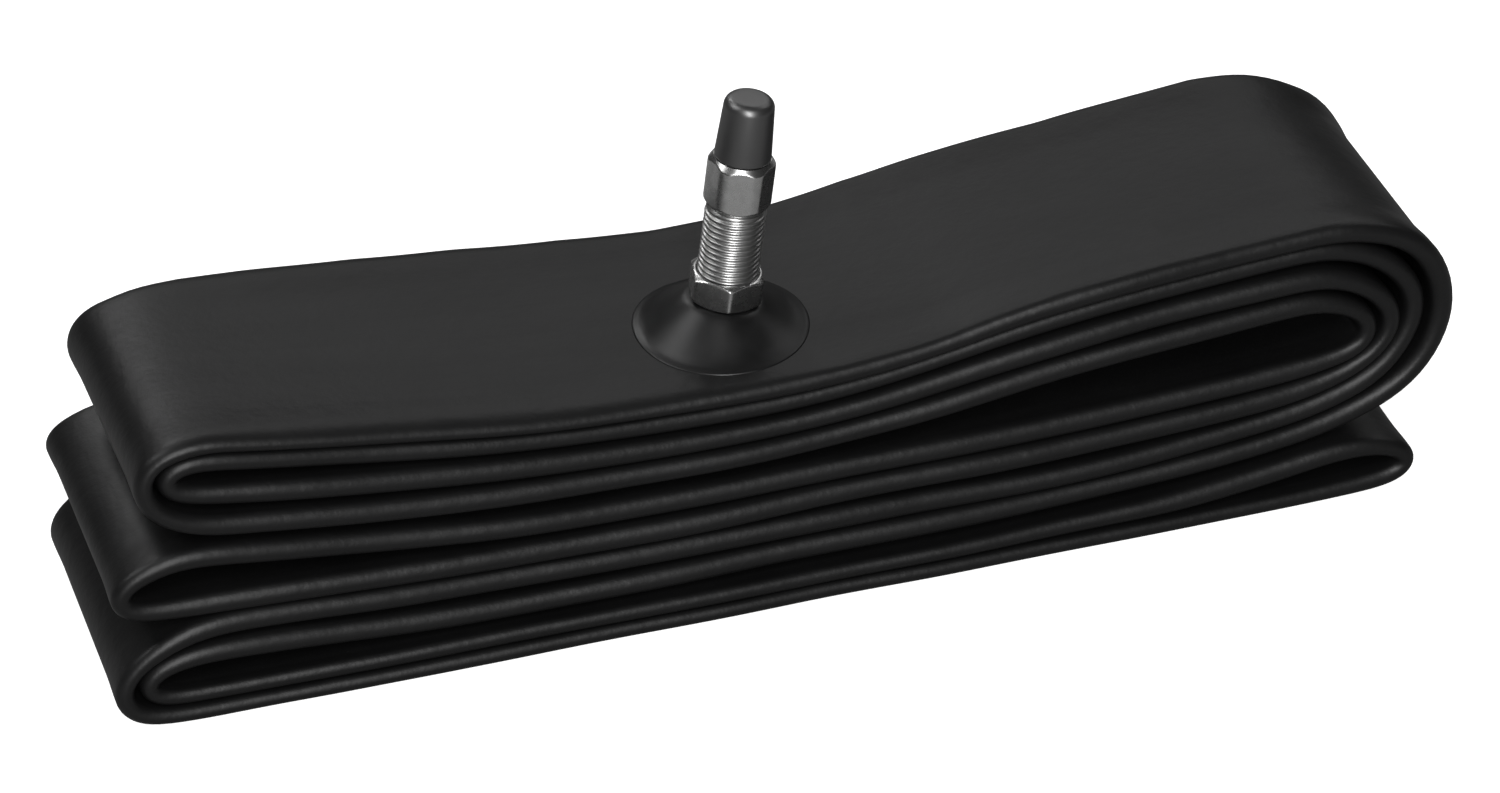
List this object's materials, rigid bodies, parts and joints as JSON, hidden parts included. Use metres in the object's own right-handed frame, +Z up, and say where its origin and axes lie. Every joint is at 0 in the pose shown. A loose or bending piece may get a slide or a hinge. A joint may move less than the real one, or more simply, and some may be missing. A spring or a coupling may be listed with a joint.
{
  "type": "bicycle inner tube",
  "caption": "Flat rubber inner tube folded into a stack of strands, with an upright threaded valve, its nuts, insert and dust cap.",
  "frame": {"origin": "under the middle of the folded bundle, on the plane that it rests on", "axes": "+Z up, +X along the bundle towards the end with the large fold, +Y across the tube, away from the side that the valve leans off-centre to"},
  "size_m": [0.1811, 0.0398, 0.0695],
  "materials": {
    "butyl_rubber": "matte with a soft sheen",
    "moulded_rubber": "satin",
    "plated_brass": "nickel plated, threaded",
    "plated_nut": "nickel plated, bright",
    "brass": "machined",
    "seal_rubber": "matte",
    "ball_plastic": "smooth",
    "cap_plastic": "moulded, semi-gloss"
  },
  "bodies": {
    "folded_tube": {"tube": "butyl_rubber", "valve_base": "moulded_rubber", "valve_stem": "plated_brass"},
    "rim_nut": {"rim_nut": "plated_nut"},
    "insert": {"valve_insert": "brass", "insert_seal": "seal_rubber", "ball_retainer": "brass"},
    "collar_nut": {"collar_nut": "plated_nut"},
    "check_ball": {"check_ball": "ball_plastic"},
    "dust_cap": {"dust_cap": "cap_plastic"}
  },
  "joints": [
    {"name": "rim_nut_run", "type": "slide", "parent": "folded_tube", "child": "rim_nut", "axis": [0.1184, 0, 0.993], "range_m": [0, 0.0095]},
    {"name": "insert_lift", "type": "slide", "parent": "folded_tube", "child": "insert", "axis": [0.1184, 0, 0.993], "range_m": [0, 0.004]},
    {"name": "collar_turn", "type": "hinge", "parent": "insert", "child": "collar_nut", "pos_m": [-0.00264, -0.0047, 0.05531], "axis": [0.1184, 0, 0.993], "range_deg": [0, 1440]},
    {"name": "ball_lift", "type": "slide", "parent": "insert", "child": "check_ball", "axis": [0.1184, 0, 0.993], "range_m": [0, 0.0012]},
    {"name": "cap_pull", "type": "slide", "parent": "insert", "child": "dust_cap", "axis": [0.1184, 0, 0.993], "range_m": [0, 0.014]}
  ],
  "couplings": [
    {"joint": "collar_turn", "follows": "insert_lift", "rad_per_m": 6283.2}
  ]
}
